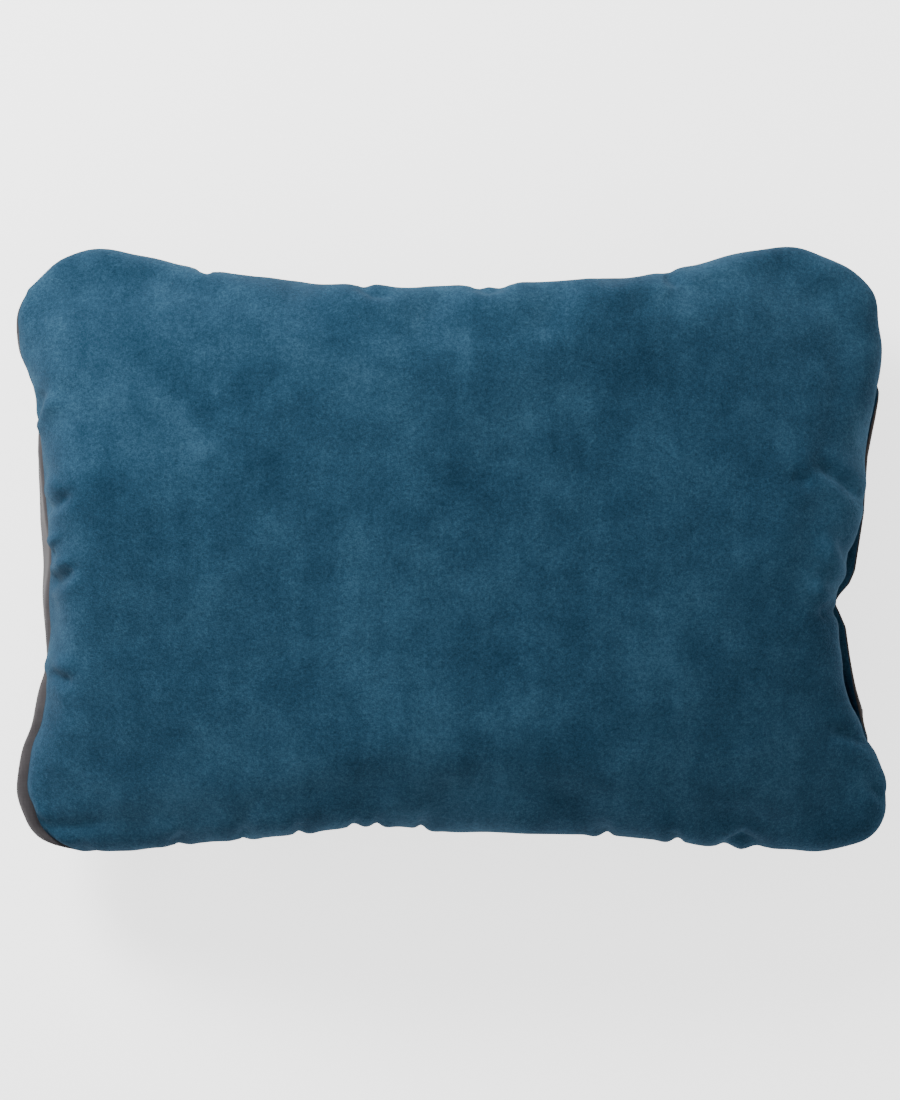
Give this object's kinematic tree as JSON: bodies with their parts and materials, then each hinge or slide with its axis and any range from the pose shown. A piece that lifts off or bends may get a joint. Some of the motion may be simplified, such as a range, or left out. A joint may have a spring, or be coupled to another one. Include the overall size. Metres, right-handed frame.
{
  "type": "camp pillow",
  "caption": "Rectangular stuffed camp pillow with a brushed front, a woven back, and a stow pocket whose slack lip has a drawcord and a sprung cord lock.",
  "frame": {"origin": "middle of the face that the pillow rests on, at the centre of its plan", "axes": "+X to the right along the longest side, +Y towards the top edge, +Z through the thickness from the back to the brushed front"},
  "size_m": [0.46, 0.32, 0.12],
  "materials": {
    "brushed_blue": "brushed, soft",
    "woven_grey": "woven, satin",
    "foam": "open cell foam crumbs",
    "thread": "twisted thread",
    "label_cloth": "satin tape",
    "cord": "braided",
    "black_plastic": "fine matte",
    "plated_brass": "dark nickel plated",
    "spring_steel": "drawn wire"
  },
  "bodies": {
    "pillow": {"front_panel": "brushed_blue", "back_panel": "woven_grey", "foam_fill": "foam", "seam_allowance": "woven_grey", "perimeter_stitching": "thread", "care_label": "label_cloth", "pocket_panel": "woven_grey", "pocket_facing": "brushed_blue", "pocket_edge_stitching": "thread", "lip_hem": "woven_grey", "hem_stitching": "thread", "upper_bartack": "thread", "lower_bartack": "thread", "exit_eyelet": "plated_brass", "drawcord": "cord", "cord_lock_barrel": "black_plastic", "cord_lock_spring": "spring_steel", "cord_end": "black_plastic"},
    "lock_plunger": {"cord_lock_plunger": "black_plastic"}
  },
  "joints": [
    {"name": "plunger_press", "type": "slide", "parent": "pillow", "child": "lock_plunger", "axis": [0, -1, 0], "range_m": [0, 0.003], "stiffness_N_per_m": 900, "springref_m": -0.004, "deforming": ["cord_lock_spring"]}
  ]
}
